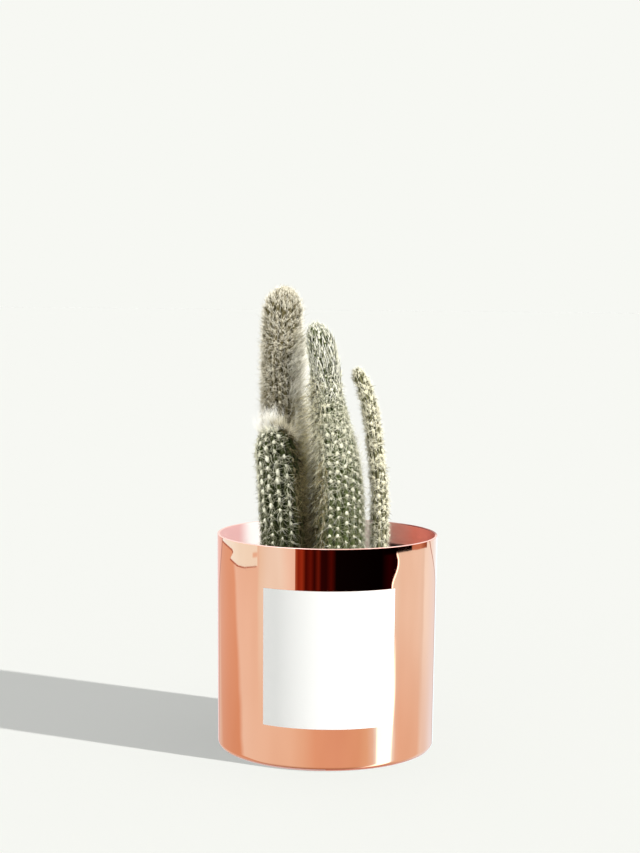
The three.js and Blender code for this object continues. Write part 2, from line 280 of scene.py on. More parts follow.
def satin_copper(shade):
    grain = shade.noise(1.6, detail=4, stretch=(6, 6, 1))
    turn, height = round_pot(shade)
    # The inside's colour holds a painted highlight, a painted reflection and painted shade round
    # the pot.
    tone = turn.between(*SHEEN_FROM_TO, soft=6).mix((turn + 6 * grain).ramp(INSIDE_COPPER_AND_PAINTED_LIGHT), SHEEN)
    # A painted highlight along the rim's cut edge.
    tone = height.step(POT_HEIGHT - RIM_ROUNDING, POT_HEIGHT - RIM_ROUNDING / 2).mix(tone, RIM_PAINTED_HIGHLIGHT)
    # A dark patch painted low on the inside wall at the right back.
    dark_spot_mask = (height + 1.5 * grain).until(*DARK_SPOT_TOP) * turn.between(*DARK_SPOT_FROM_TO, soft=3)
    # Painted shade on the rim at the right back.
    rim_shade_mask = height.step(*(POT_HEIGHT - below for below in RIM_PAINTED_SHADE_BELOW_TOP))
    rim_shade_mask = rim_shade_mask * turn.between(*RIM_PAINTED_SHADE_FROM_TO, soft=8)
    return {
        "Base Color": rim_shade_mask.mix(dark_spot_mask.mix(tone, DARK_SPOT), RIM_PAINTED_SHADE),
        "Metallic": 0.45,
        "Roughness": 0.42 + 0.08 * grain,
        "Coat Weight": 0.3,
        "Coat Roughness": 0.3,
        "Normal": grain.bump(0.006),
    }


pot = solid(
    "copper_pot",
    *spun(pot_profile(), POT_SIDES),
    [finish("polished_copper", polished_copper), finish("satin_copper", satin_copper)],
)
for face in pot.data.polygons:
    middle = face.center / MM
    inside = math.hypot(middle.x, middle.y) < pot_radius(middle.z) - POT_WALL / 2
    cut = middle.z > POT_HEIGHT - RIM_ROUNDING
    face.material_index = int(cut or inside and middle.z > POT_WALL / 2)
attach(pot, "root")
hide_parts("pot")
pot.visible_diffuse = False


# Label
# A square of white self-adhesive paper, cut flat and pressed round the front of the pot. Nothing
# is on it.

LABEL_SIDE = 72
LABEL_MIDDLE = 58.5
LABEL_TURN = 1.2
LABEL_OFF_WALL = 0.06
LABEL_THICK = 0.22
LABEL_COLUMNS = 96
LABEL_ROWS = 12
PAPER = (0.93, 0.93, 0.925)


def label_mesh():
    half = LABEL_SIDE / 2 / pot_radius(LABEL_MIDDLE)
    turn = math.radians(LABEL_TURN - 90) + np.linspace(-half, half, LABEL_COLUMNS + 1)
    rise = LABEL_MIDDLE + np.linspace(-LABEL_SIDE / 2, LABEL_SIDE / 2, LABEL_ROWS + 1)
    rings = []
    for out in (LABEL_OFF_WALL, LABEL_OFF_WALL + LABEL_THICK):
        rings += [level_ring(pot_radius(height) + out, height, turn) for height in rise]
    spots = np.arange(len(rise) * len(turn)).reshape(len(rise), len(turn))
    squares = [spots[:-1, :-1], spots[:-1, 1:], spots[1:, 1:], spots[1:, :-1]]
    front = np.stack(squares, axis=-1).reshape(-1, 4)
    edge = [*spots[0], *spots[1:, -1], *spots[-1, -2::-1], *spots[-2::-1, 0]]
    edge = [[a, b, b + spots.size, a + spots.size] for a, b in zip(edge, edge[1:])]
    return np.vstack(rings), [*(front + spots.size), *front[:, ::-1], *edge]


def label_paper(shade):
    fibres = shade.noise(0.5, detail=4)
    return {
        "Base Color": fibres.mix(PAPER, tuple(0.985 * c for c in PAPER)),
        "Roughness": 0.55 + 0.1 * fibres,
        "Specular IOR Level": 0.2,
        "Normal": fibres.bump(0.004),
    }


label = solid("paper_label", *label_mesh(), [finish("label_paper", label_paper)])
border = set()
for face in label.data.polygons[2 * LABEL_COLUMNS * LABEL_ROWS :]:
    border.update(face.edge_keys)
for edge in label.data.edges:
    edge.use_edge_sharp = edge.key in border
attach(label, "root")
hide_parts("label")
label.visible_diffuse = False


# Stem shapes
# The four columns grew from one root stock. Each is a fluted cylinder that bends a little and ends
# in a dome. Points of a line are x, y, z and the radius over the rib crests there, in mm.

SOIL_TOP = 94.5
LEAN_SPAN = 0.5
LEAN_STARTS_OVER = 6
UP_SPAN = 0.3
SIDE_SPAN = 0.02


def unit(vectors):
    return vectors / np.maximum(np.linalg.norm(vectors, axis=-1, keepdims=True), 1e-9)


def smooth_between(knots, heights):
    """x, y and radius at some heights, on a smooth line through given knots."""
    knots = np.array(knots, float)
    z = knots[:, 2]
    values = knots[:, [0, 1, 3]]
    slope = np.gradient(values, z, axis=0)
    heights = np.clip(heights, z[0], z[-1])
    low = np.clip(np.searchsorted(z, heights) - 1, 0, len(z) - 2)
    span = (z[low + 1] - z[low])[:, None]
    t = (heights - z[low])[:, None] / span
    return (
        (2 * t**3 - 3 * t**2 + 1) * values[low]
        + (t**3 - 2 * t**2 + t) * span * slope[low]
        + (3 * t**2 - 2 * t**3) * values[low + 1]
        + (t**3 - t**2) * span * slope[low + 1]
    )


class Stem:
    """A column. u is the distance up its skin from the soil, and turn the angle round it.

    draw gives its random numbers, and stray is how far its cushions stray from their rows."""

    def __init__(self, name, ribs, turn, dome, line, seed, stray=1):
        self.name = name
        self.ribs = ribs
        self.pitch = 2 * np.pi / ribs
        self.first = math.radians(turn)
        self.dome = dome
        self.line = line
        self.draw = np.random.default_rng(seed)
        self.stray = stray
        self.column = line[-1][2] - dome - SOIL_TOP
        self.tip_radius = smooth_between(line, np.array([line[-1][2] - dome]))[0, 2]
        self.dome_skin = math.pi / 2 * math.hypot(dome, self.tip_radius) / math.sqrt(2)
        self.skin = self.column + self.dome_skin

    def axis(self, u):
        """Centre, crest radius, and directions up, across and forward at distances u."""
        u = np.asarray(u, float)
        climb = np.clip((u - self.column) / self.dome_skin, 0, 1) * np.pi / 2
        z = np.where(u < self.column, u, self.column + self.dome * np.sin(climb)) + SOIL_TOP
        x, y, radius = smooth_between(self.line, z).T
        radius = np.where(u < self.column, radius, self.tip_radius * np.cos(climb))
        low = np.maximum(z - LEAN_SPAN, SOIL_TOP)
        high = np.minimum(z + LEAN_SPAN, self.line[-1][2])
        drift = smooth_between(self.line, high) - smooth_between(self.line, low)
        lean = drift[:, :2] / (high - low)[:, None]
        lean *= np.clip(u / LEAN_STARTS_OVER, 0, 1)[:, None]
        up = unit(np.column_stack([lean, np.ones(len(u))]))
        across = unit(np.array([1.0, 0, 0]) - up[:, :1] * up)
        return np.column_stack([x, y, z]), radius, across, np.cross(up, across)

    def skin_point(self, u, turn, out=0, share=1):
        centre, radius, across, forward = self.axis(u)
        reach = (radius * share + out)[:, None]
        spoke = np.cos(turn)[:, None] * across + np.sin(turn)[:, None] * forward
        return centre + reach * spoke

    def skin_frame(self, u, turn):
        """Points on rib crests, and directions out, up along the rib and sideways."""
        up = unit(self.skin_point(u + UP_SPAN, turn) - self.skin_point(u - UP_SPAN, turn))
        side = self.skin_point(u, turn + SIDE_SPAN) - self.skin_point(u, turn - SIDE_SPAN)
        side = unit(side)
        return self.skin_point(u, turn), np.cross(side, up), up, side


back_tall = Stem(
    "stem_back_tall", ribs=16, turn=4, dome=14, seed=41,
    line=[
        [-25.1, 16.5, 94.5, 9.3], [-25.4, 17, 143.5, 9.3], [-26.8, 17.5, 178.5, 9.2],
        [-27.6, 18, 202.5, 8.9], [-26.4, 18.5, 227.5, 9.8], [-24.6, 18.5, 249.2, 9.8],
    ],
)
front_short = Stem(
    "stem_front_short", ribs=14, turn=-92.5, dome=15, seed=43, stray=0.6,
    line=[
        [-23.5, -14, 94.5, 11.5], [-23.6, -14, 116.5, 11.5], [-25.2, -14, 136.5, 11.4],
        [-27.1, -13.5, 156.5, 10.9], [-30.4, -13, 175, 10],
    ],
)
middle_stout = Stem(
    "stem_middle", ribs=19, turn=-90, dome=13, seed=47,
    line=[
        [5.6, -3, 94.5, 14], [5.8, -3, 120.5, 13.8], [5.8, -3, 140.5, 12.9],
        [4.3, -3.5, 160.5, 11.1], [1.6, -4, 176.5, 9.2], [-0.8, -4, 192.5, 7.8],
        [-2.1, -3.5, 205.5, 7.6], [-4.4, -3, 218.5, 7.1], [-8.2, -2.5, 230.5, 5.8],
    ],
)
right_slim = Stem(
    "stem_right_slim", ribs=9, turn=-95, dome=6, seed=53, stray=2.2,
    line=[
        [28.6, 6, 94.5, 4.2], [28.8, 6, 123.5, 4.2], [27.9, 6.5, 146.5, 4],
        [25.4, 7, 166.5, 3.8], [23.2, 7, 182.5, 3.7], [20, 7.5, 194.5, 3.4],
        [15, 8, 206, 3.1],
    ],
)
stems = [back_tall, front_short, middle_stout, right_slim]


# Soil
# Dark potting mix of peat crumbs, bark and fibre, with white grains of perlite. It was poured
# round the stems' feet, so it is loose on top and takes the pot's shape below.

SOIL_GAP = 0.3
SOIL_SECTORS = 180
SOIL_TOP_RINGS = 44
SOIL_MOUND = 1
LUMP_RISE = 0.32
GRAIN_RISE = 0.16
CLEAR_OF_WALL = 0.2
CLEAR_OF_STEM = 0.1
RAISED = 0.2
JAGGED = (0.75, 1.2)
PEAT_DARK = (0.022, 0.014, 0.009)
PEAT_LIGHT = (0.085, 0.055, 0.034)
PERLITE = (0.74, 0.72, 0.66)
CRUMBS = {"count": 2600, "size": (0.5, 1.7), "flat": (0.55, 1)}
BARK = {"count": 190, "size": (1.6, 3.4), "flat": (0.25, 0.5)}
GRAINS = {"count": 150, "size": (0.7, 1.5), "flat": (0.7, 1)}
soil_draw = np.random.default_rng(11)


def soil_height(x, y):
    far = np.hypot(x, y) / pot_radius(SOIL_TOP)
    lumps = LUMP_RISE * np.sin(0.31 * x + 1.3 * np.sin(0.17 * y)) * np.sin(0.37 * y + 0.6)
    fine = GRAIN_RISE * np.sin(1.7 * x + 0.8 * y) * np.sin(1.9 * y - 0.7 * x + 1.1)
    return SOIL_TOP + SOIL_MOUND * (1 - far**2) + lumps + fine


def soil_mesh():
    inset = POT_WALL + SOIL_GAP
    edge = pot_radius(SOIL_TOP) - inset
    turn = whole_turn(SOIL_SECTORS)
    wall = wall_heights(POT_BEND, SOIL_TOP, 8)
    outline = np.vstack([foot_bend(inset, 8), np.column_stack([pot_radius(wall) - inset, wall])])
    rings = [level_ring(radius, height, turn) for radius, height in outline]
    for radius in edge * np.linspace(1, 0.02, SOIL_TOP_RINGS):
        height = soil_height(radius * np.cos(turn), radius * np.sin(turn))
        rings.append(level_ring(radius, height, turn))
    ends = [[0, 0, inset], [0, 0, SOIL_TOP + SOIL_MOUND]]
    return np.vstack([*rings, ends]), tube_faces(len(rings), SOIL_SECTORS)


def lump():
    """The corners and faces of a twenty-sided lump of radius 1."""
    golden = (1 + math.sqrt(5)) / 2
    signs = [(s, t * golden) for s in (-1, 1) for t in (-1, 1)]
    corners = [(0, s, t) for s, t in signs] + [(s, t, 0) for s, t in signs]
    corners += [(t, 0, s) for s, t in signs]
    corners = unit(np.array(corners, float))
    faces = []
    longest_edge = 1.1
    for a, b, c in itertools.combinations(range(len(corners)), 3):
        trio = corners[[a, b, c]]
        if np.linalg.norm(trio - np.roll(trio, 1, axis=0), axis=1).max() < longest_edge:
            outwards = np.dot(np.cross(trio[1] - trio[0], trio[2] - trio[0]), trio[0]) > 0
            faces.append([a, b, c] if outwards else [a, c, b])
    return corners, np.array(faces)


def random_turns(draw, count):
    """Turning matrices, any way round."""
    turns = unit(draw.normal(size=(count, 4)))
    return np.array([Quaternion(turn).to_matrix() for turn in turns])


def scattered(draw, count, size, flat):
    """Jagged lumps strewn over the soil, nearly half sunk in it, and clear of the stems."""
    edge = pot_radius(SOIL_TOP) - POT_WALL - SOIL_GAP
    corners, faces = lump()
    reach = draw.uniform(*size, count) / 2
    far = (edge - reach - CLEAR_OF_WALL) * np.sqrt(draw.random(count))
    turn = draw.uniform(0, 2 * np.pi, count)
    x, y = far * np.cos(turn), far * np.sin(turn)
    clear = np.ones(count, bool)
    for stem in stems:
        foot_x, foot_y, _, radius = stem.line[0]
        clear &= np.hypot(x - foot_x, y - foot_y) > radius + CLEAR_OF_STEM
    z = soil_height(x, y) + RAISED * reach
    shape = corners[None] * draw.uniform(*JAGGED, (count, len(corners), 1))
    shape[..., 2] *= draw.uniform(*flat, (count, 1))
    shape = np.einsum("nij,nkj->nki", random_turns(draw, count), shape) * reach[:, None, None]
    points = (shape + np.stack([x, y, z], axis=-1)[:, None])[clear]
    shifts = len(corners) * np.arange(len(points))[:, None, None]
    tone = np.repeat(draw.random(count)[clear], len(corners))
    return points.reshape(-1, 3), (faces[None] + shifts).reshape(-1, 3), tone


def peat(shade):
    tone = shade.noise(1.4, detail=5).step(0.3, 0.75)
    grain = shade.noise(0.45, detail=5)
    return {
        "Base Color": tone.mix(PEAT_DARK, PEAT_LIGHT),
        "Roughness": 0.92,
        "Normal": grain.bump(0.35),
    }


def loose_peat(shade):
    tone = shade.attribute("tone") * 0.8 + 0.3 * shade.noise(0.6)
    return {
        "Base Color": tone.step(0.2, 1).mix(PEAT_DARK, PEAT_LIGHT),
        "Roughness": 0.9,
        "Normal": shade.noise(0.3, detail=4).bump(0.12),
    }


def perlite(shade):
    pores = shade.noise(0.35, detail=4)
    return {
        "Base Color": pores.mix(PERLITE, tuple(0.75 * c for c in PERLITE)),
        "Roughness": 0.85,
        "Normal": pores.bump(0.1),
    }


soil = solid("potting_soil", *soil_mesh(), [finish("peat", peat)])
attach(soil, "root")
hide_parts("soil")
soil.visible_diffuse = False

crumb_finish = finish("soil_crumbs", loose_peat)
for name, kind, material in (
    ("soil_crumbs", CRUMBS, crumb_finish),
    ("soil_bark", BARK, crumb_finish),
    ("soil_perlite", GRAINS, finish("perlite", perlite)),
):
    points, faces, tone = scattered(soil_draw, **kind)
    crumbs = solid(name, points, faces, [material], tone=tone)
    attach(crumbs, "root")
    crumbs.visible_diffuse = False


# Tall stem at the back left
# The oldest column, hidden by fine beige bristles, so that only dark specks of its green skin show.
# Long silky hairs on its right side fill the gap to the middle stem.

FOOT_DEPTH = 26
FOOT_TAPER = 6
FOOT_END = 0.6
BURIED_RING = 2
RIB_DEPTH = 0.4
RIB_SHARPNESS = 0.9
RIBS_START_OVER = 3
CUSHION_PITCH = 5
CUSHION_START = 2.5
CUSHION_SWELL = 0.28
FULL_SWELL_RADIUS = 6
CUSHION_STRAY = 0.35
MOST_STRAY = 1
RIB_STRAY = 0.06
COLUMNS_PER_RIB = 8
RING_STEP = 1.2
DOME_RINGS = 13
LAST_CUSHION = 1.3
WOOL_SIDES = 6
WOOL_RINGS = ((1, -0.5), (1.05, 0.2), (0.7, 0.8))
WOOL_ENDS = (-0.6, 1.1)
WOOL_VARIES = (0.6, 1.3)
HAIR_SUNK = 0.1
HAIR_TAPER = 0.55
NEIGHBOUR_ROOM = 0.5
SOIL_ROOM = 1.5
ALL_ROUND = (-180, 180)
EVEN = ((0, 1), (1, 1))


def cushion_places(stem):
    """Distance up the skin and angle of every spine cushion, staggered from rib to rib."""
    u, turn = [], []
    for rib in range(stem.ribs):
        start = CUSHION_START + (CUSHION_PITCH / 2 if rib % 2 else 0)
        heights = np.arange(start, stem.skin - LAST_CUSHION, CUSHION_PITCH)
        u.append(heights)
        turn.append(np.full(len(heights), stem.first + rib * stem.pitch))
    u, turn = np.concatenate(u), np.concatenate(turn)
    draw = np.random.default_rng(stem.ribs)
    stray = np.clip(draw.normal(0, CUSHION_STRAY, len(u)), -MOST_STRAY, MOST_STRAY)
    u = u + stem.stray * stray
    return u, turn + stem.stray * draw.normal(0, RIB_STRAY * stem.pitch, len(u))


def skin_mesh(stem):
    """The fluted column with its buried foot. crest is 1 on the ribs and 0 in the grooves."""
    columns = stem.ribs * COLUMNS_PER_RIB
    turn = stem.first + whole_turn(columns)
    phase = np.arange(columns) / COLUMNS_PER_RIB
    ridge = np.abs(np.cos(np.pi * phase)) ** RIB_SHARPNESS
    rib = np.floor(phase + 0.5).astype(int) % stem.ribs
    start = CUSHION_START + np.where(rib % 2, CUSHION_PITCH / 2, 0)
    rings = round(stem.column / RING_STEP)
    climb = np.linspace(0, 1, DOME_RINGS + 2)[1:-1]
    levels = [(-FOOT_DEPTH, FOOT_END, 0), (FOOT_TAPER - FOOT_DEPTH, 1, 0), (-BURIED_RING, 1, 0)]
    heights = np.linspace(0, stem.column, rings + 1)
    levels += [(u, 1, min(1, u / RIBS_START_OVER)) for u in heights]
    levels += [(stem.column + stem.dome_skin * c, 1, 1) for c in climb]
    points, crest = [], []
    for u, share, fluted in levels:
        level = np.full(columns, float(max(u, 0)))
        _, radius, *_ = stem.axis(level)
        depth = RIB_DEPTH * stem.pitch * radius * fluted
        swell = np.cos(2 * np.pi * (level - start) / CUSHION_PITCH)
        swell *= CUSHION_SWELL * ridge**2 * fluted * np.minimum(1, radius / FULL_SWELL_RADIUS)
        ring = stem.skin_point(level, turn, swell - depth * (1 - ridge), share)
        ring[:, 2] += min(u, 0)
        points.append(ring)
        crest.append(np.where(fluted > 0, ridge, 0.5))
    ends = [points[0].mean(axis=0), stem.axis([stem.skin])[0][0]]
    faces = tube_faces(len(points), columns)
    return np.vstack([*points, ends]), faces, np.append(np.concatenate(crest), [0.5, 1])


def add_skin(stem, groove, crest):
    def make(shade):
        mottle = shade.noise(2.2, detail=4)
        # The grooves are painted darker than the crests: painted shade in the grooves.
        tone = (shade.attribute("crest") * 0.8 + 0.35 * mottle).step(0.15, 1)
        return {
            "Base Color": tone.mix(groove, crest),
            "Roughness": 0.5 + 0.15 * mottle,
            "Specular IOR Level": 0.06,
            "Normal": shade.noise(0.7).bump(0.05),
        }

    name = stem.name + "_skin"
    points, faces, ridge = skin_mesh(stem)
    return solid(name, points, faces, [finish(name, make)], crest=ridge)


def wool_mesh(stem, size, grown, facing):
    """A felt dome on each cushion: rings of jittered points, closed by a point at each end.

    size is its half width, half height and rise. grown scales it by (mm below the tip, value)."""
    u, turn = cushion_places(stem)
    chosen = (np.degrees(turn) - facing[0]) % 360 <= facing[1] - facing[0]
    u, turn = u[chosen], turn[chosen]
    here, out, up, side = stem.skin_frame(u, turn)
    count = len(u)
    wide, tall, high = size
    around = whole_turn(WOOL_SIDES)
    scale = stem.draw.uniform(*WOOL_VARIES, (count, 1))
    scale *= np.interp(stem.skin - u, *zip(*grown))[:, None]
    layers = []
    for spread, rise in WOOL_RINGS:
        reach = spread * scale * stem.draw.uniform(*WOOL_VARIES, (count, WOOL_SIDES))
        a = (wide * reach * np.cos(around))[..., None] * side[:, None]
        b = (tall * reach * np.sin(around))[..., None] * up[:, None]
        layers.append(here[:, None] + a + b + (high * rise * scale * out)[:, None])
    layers += [(here + rise * high * scale * out)[:, None] for rise in WOOL_ENDS]
    points = np.concatenate(layers, axis=1)
    one = tube_faces(len(WOOL_RINGS), WOOL_SIDES)
    corners = points.shape[1]
    faces = [[c + i * corners for c in face] for i in range(count) for face in one]
    return points.reshape(-1, 3), faces


def add_wool(stem, kind, size, shadow, felt, grown=EVEN, facing=ALL_ROUND):
    def make(shade):
        tuft = shade.noise(0.28, detail=5)
        tone = tuft + 0.5 * shade.noise(3.2, detail=1) - 0.25
        return {
            "Base Color": tone.step(0.3, 0.6).mix(shadow, felt),
            "Roughness": 0.95,
            "Specular IOR Level": 0.1,
            "Normal": tuft.bump(0.2),
        }

    name = f"{stem.name}_{kind}"
    return solid(name, *wool_mesh(stem, size, grown, facing), [finish(name, make)])


def outside_others(stem, points):
    """Which points are outside every stem but their own."""
    clear = np.ones(len(points), bool)
    for other in stems:
        if other is not stem:
            x, y, radius = smooth_between(other.line, points[:, 2]).T
            gap = np.hypot(points[:, 0] - x, points[:, 1] - y) - radius
            clear &= (gap > NEIGHBOUR_ROOM) | (points[:, 2] > other.line[-1][2])
    return clear


def bristle_mesh(
    stem, each, length, rise, thick, bend=-10, start=0, scatter=0.2, joints=2, facing=ALL_ROUND,
    below=(0, 999), comb=((0, 0), (1, 0)), reach=EVEN, crowd=EVEN, bright=EVEN,
):
    """Curved three-sided spines, as points, faces, and each point's share along and tone.

    So many grow from each cushion, on the side facing some degrees, and so many mm below the tip.
    comb pulls them up the stem, reach scales their length, crowd is the share that grow and the
    last argument scales their tone, all by (mm below the tip, value). That last scale is painted
    light and
    shade: mostly darker low down, where other stems and the pot shade them."""
    draw = stem.draw
    u, turn = cushion_places(stem)
    depth = stem.skin - u
    bearing = (np.degrees(turn) - facing[0]) % 360
    chosen = (bearing <= facing[1] - facing[0]) & (depth >= below[0]) & (depth <= below[1])
    u, turn = np.repeat(u[chosen], each), np.repeat(turn[chosen], each)
    here, out, up, side = stem.skin_frame(u, turn)
    depth = stem.skin - u
    total = len(u)
    heading = draw.uniform(-np.pi, np.pi, total)
    lift = np.interp(depth, *zip(*comb))
    flat = unit(side * np.sin(heading)[:, None] + up * (np.cos(heading) + lift)[:, None])
    slope = np.radians(draw.uniform(*rise, total))
    length = draw.uniform(*length, total) * np.interp(depth, *zip(*reach))
    place = here - HAIR_SUNK * out + start * flat
    place += scatter * draw.normal(size=(total, 1)) * side
    place += scatter * draw.normal(size=(total, 1)) * up
    path = [place]
    for joint in range(joints):
        now = (slope + math.radians(bend) * joint / max(1, joints - 1))[:, None]
        ahead = out * np.sin(now) + flat * np.cos(now)
        path.append(path[-1] + ahead * (length / joints)[:, None])
    keep = outside_others(stem, path[-1]) & outside_others(stem, path[-2])
    keep &= path[-1][:, 2] > SOIL_TOP + SOIL_ROOM
    keep &= draw.random(total) < np.interp(depth, *zip(*crowd))
    path = [points[keep] for points in path]
    total = int(keep.sum())
    first = unit(path[1] - path[0])
    across = unit(np.cross(first, draw.normal(size=(total, 3))))
    beside = np.cross(first, across)
    layers = []
    for joint in range(joints):
        width = thick * (1 - HAIR_TAPER * joint / joints)
        for corner in whole_turn(3):
            spoke = across * math.cos(corner) + beside * math.sin(corner)
            layers.append(path[joint] + spoke * width)
    points = np.stack([*layers, path[-1]], axis=1).reshape(-1, 3)
    one = [[2, 1, 0]]
    for joint in range(joints - 1):
        for a, b in ((0, 1), (1, 2), (2, 0)):
            low = 3 * joint
            one += [[low + a, low + b, low + b + 3], [low + a, low + b + 3, low + a + 3]]
    top = 3 * (joints - 1)
    one += [[top + a, top + b, 3 * joints] for a, b in ((0, 1), (1, 2), (2, 0))]
    corners = 3 * joints + 1
    faces = np.array(one)[None] + corners * np.arange(total)[:, None, None]
    along = np.tile(np.append(np.repeat(np.arange(joints), 3), joints) / joints, total)
    # Random tone, scaled by the painted light and shade along the stem.
    tone = draw.random(total) * np.interp(depth[keep], *zip(*bright))
    return points, faces.reshape(-1, 3), along, np.repeat(tone, corners)


def add_bristles(stem, kind, root, tip, glow=0, **shape):
    """Spines or hairs, from root colour to tip colour. glow is for light that thin hairs let by."""

    def make(shade):
        tone = shade.attribute("tone")
        share = (shade.attribute("along") * 0.55 + tone).step(0.3, 1.1)
        colour = share.mix(root, tip)
        return {
            "Base Color": colour,
            "Roughness": 0.42 + 0.2 * tone,
            "Specular IOR Level": 0.05,
            "Emission Color": colour,
            "Emission Strength": glow,
        }

    name = f"{stem.name}_{kind}"
    points, faces, along, tone = bristle_mesh(stem, **shape)
    return solid(name, points, faces, [finish(name, make)], along=along, tone=tone)


BACK_LIE = {
    "comb": ((0, 2), (20, 1.2), (50, 0.3), (80, -0.6), (150, -1)),
    "reach": ((0, 0.5), (8, 0.8), (16, 1)),
}

skin = add_skin(back_tall, groove=(0.03, 0.026, 0.012), crest=(0.1, 0.085, 0.04))
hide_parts(back_tall.name)

wool = add_wool(
    back_tall, "wool", size=(0.5, 0.75, 0.55), shadow=(0.34, 0.3, 0.2), felt=(0.76, 0.72, 0.58),
    grown=((0, 0.4), (8, 0.6), (20, 1)),
)

radials = add_bristles(
    back_tall, "radials", root=(0.29, 0.255, 0.16), tip=(0.88, 0.84, 0.71),
    each=24, length=(2.2, 4.2), rise=(15, 60), thick=0.12, bend=-4, scatter=1,
    bright=((0, 0.3), (8, 1.3), (20, 1.6), (50, 1.3), (72, 0.5), (110, 0.2)), **BACK_LIE,
)

centrals = add_bristles(
    back_tall, "centrals", root=(0.3, 0.26, 0.16), tip=(0.9, 0.86, 0.73),
    each=8, length=(3, 5.4), rise=(28, 60), thick=0.13, bend=-4, scatter=0.9,
    bright=((0, 0.3), (8, 1.1), (20, 1.3), (50, 1.1), (72, 0.5), (110, 0.2)), **BACK_LIE,
)

halo = add_bristles(
    back_tall, "halo", root=(0.26, 0.235, 0.16), tip=(0.46, 0.43, 0.34),
    each=4, length=(5, 8), rise=(30, 62), thick=0.05, bend=-16, **BACK_LIE,
)

veil = add_bristles(
    back_tall, "veil", root=(0.36, 0.335, 0.22), tip=(0.88, 0.86, 0.76),
    each=40, length=(6, 15), rise=(28, 68), thick=0.1, scatter=1.5, facing=(-42, 42),
    below=(32, 125), comb=((0, 2.4), (70, 2), (125, 1)),
    crowd=((32, 0.6), (48, 1), (85, 1), (125, 0)),
    bright=((25, 0.3), (34, 0.6), (45, 1.1), (62, 1.25), (80, 1.25), (100, 1), (125, 0.7)),
)

shaded_hair = add_bristles(
    back_tall, "shaded_hair", root=(0.17, 0.142, 0.06), tip=(0.8, 0.72, 0.4),
    each=56, length=(8, 16), rise=(45, 86), thick=0.085, scatter=1.5, facing=(-42, 42),
    below=(62, 160), comb=((0, 0.6), (150, 0.2)), crowd=((62, 0), (100, 1)),
    bright=((62, 1.5), (90, 2), (106, 1.7), (123, 1.1), (137, 0.7), (160, 0.4)),
)

back_pieces = [skin, wool, radials, centrals, halo, veil, shaded_hair]
for piece in back_pieces:
    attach(piece, "root")


# Short stem at the front left
# Young and dark green. Its bristles hang down in grey-green strands between bright wool cushions,
# and long white hair stands up behind its crown.

FRONT_LIE = {
    "comb": ((0, 0.8), (12, 0), (24, -0.75), (90, -1.1)),
    "reach": ((0, 0.45), (8, 0.75), (16, 1)),
}
FRONT_BRIGHT = (-215, -52)
FRONT_SHADED = (-52, 145)

skin = add_skin(front_short, groove=(0.005, 0.007, 0.002), crest=(0.036, 0.045, 0.014))
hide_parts(front_short.name)

wool = add_wool(
    front_short, "wool", size=(0.92, 1.5, 0.7), shadow=(0.44, 0.43, 0.3), felt=(0.85, 0.84, 0.71),
    facing=FRONT_BRIGHT, grown=((0, 1), (40, 1), (52, 0.8), (64, 0.55)),
)

shaded_wool = add_wool(
    front_short, "shaded_wool", size=(0.62, 1.15, 0.7), shadow=(0.08, 0.07, 0.035),
    felt=(0.24, 0.21, 0.125), facing=FRONT_SHADED,
)

radials = add_bristles(
    front_short, "radials", root=(0.08, 0.082, 0.04), tip=(0.68, 0.67, 0.5),
    each=20, length=(2.6, 6), rise=(6, 30), thick=0.145, start=0.3, scatter=1,
    facing=FRONT_BRIGHT, bright=((0, 1.2), (38, 1.1), (50, 0.75), (64, 0.45)), **FRONT_LIE,
)

centrals = add_bristles(
    front_short, "centrals", root=(0.5, 0.49, 0.34), tip=(0.86, 0.84, 0.71),
    each=14, length=(0.8, 2.2), rise=(15, 80), thick=0.17, start=0.2, facing=FRONT_BRIGHT,
    bright=((0, 1.2), (38, 1.2), (50, 0.7), (64, 0.3)), **FRONT_LIE,
)

halo = add_bristles(
    front_short, "halo", root=(0.55, 0.54, 0.44), tip=(0.9, 0.89, 0.82), glow=0.04,
    each=3, length=(4.5, 7.5), rise=(25, 60), thick=0.05, bend=-16, facing=FRONT_BRIGHT,
    **FRONT_LIE,
)

crown_hair = add_bristles(
    front_short, "crown_hair", root=(0.84, 0.82, 0.73), tip=(0.95, 0.94, 0.89), glow=0.15,
    each=66, length=(4, 16), rise=(35, 66), thick=0.07, bend=-8, scatter=0.6, facing=(35, 185),
    below=(0, 9), comb=((0, 1.8), (30, 1.8)),
)

crown_fan = add_bristles(
    front_short, "crown_fan", root=(0.46, 0.41, 0.26), tip=(0.93, 0.87, 0.68),
    each=38, length=(4, 11), rise=(30, 78), thick=0.075, bend=-4, scatter=1.4, facing=(-32, 80),
    below=(1, 15), comb=((0, 1.1), (15, 0.4)),
)

crown_tuft = add_bristles(
    front_short, "crown_tuft", root=(0.8, 0.77, 0.62), tip=(0.96, 0.94, 0.83), glow=0.12,
    each=26, length=(1.5, 4.5), rise=(25, 85), thick=0.085, below=(0, 8),
)

shaded_centrals = add_bristles(
    front_short, "shaded_centrals", root=(0.025, 0.02, 0.01), tip=(0.17, 0.14, 0.07),
    each=12, length=(3.6, 7.6), rise=(8, 38), thick=0.15, start=0.2, scatter=0.5,
    facing=FRONT_SHADED, bright=((0, 1.1), (30, 1), (46, 0.6), (64, 0.3)), **FRONT_LIE,
)

shaded_hair = add_bristles(
    front_short, "shaded_hair", root=(0.07, 0.058, 0.025), tip=(0.36, 0.3, 0.15),
    each=30, length=(4, 9), rise=(20, 60), thick=0.08, bend=-14, facing=(-42, 70), below=(30, 85),
    comb=((0, 0.4), (80, -0.6)), bright=((0, 1.3), (30, 1.3), (48, 0.8), (64, 0.4)),
)

front_pieces = [skin, wool, shaded_wool, radials, centrals, halo, crown_hair, crown_fan, crown_tuft]
front_pieces += [shaded_centrals, shaded_hair]
for piece in front_pieces:
    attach(piece, "root")


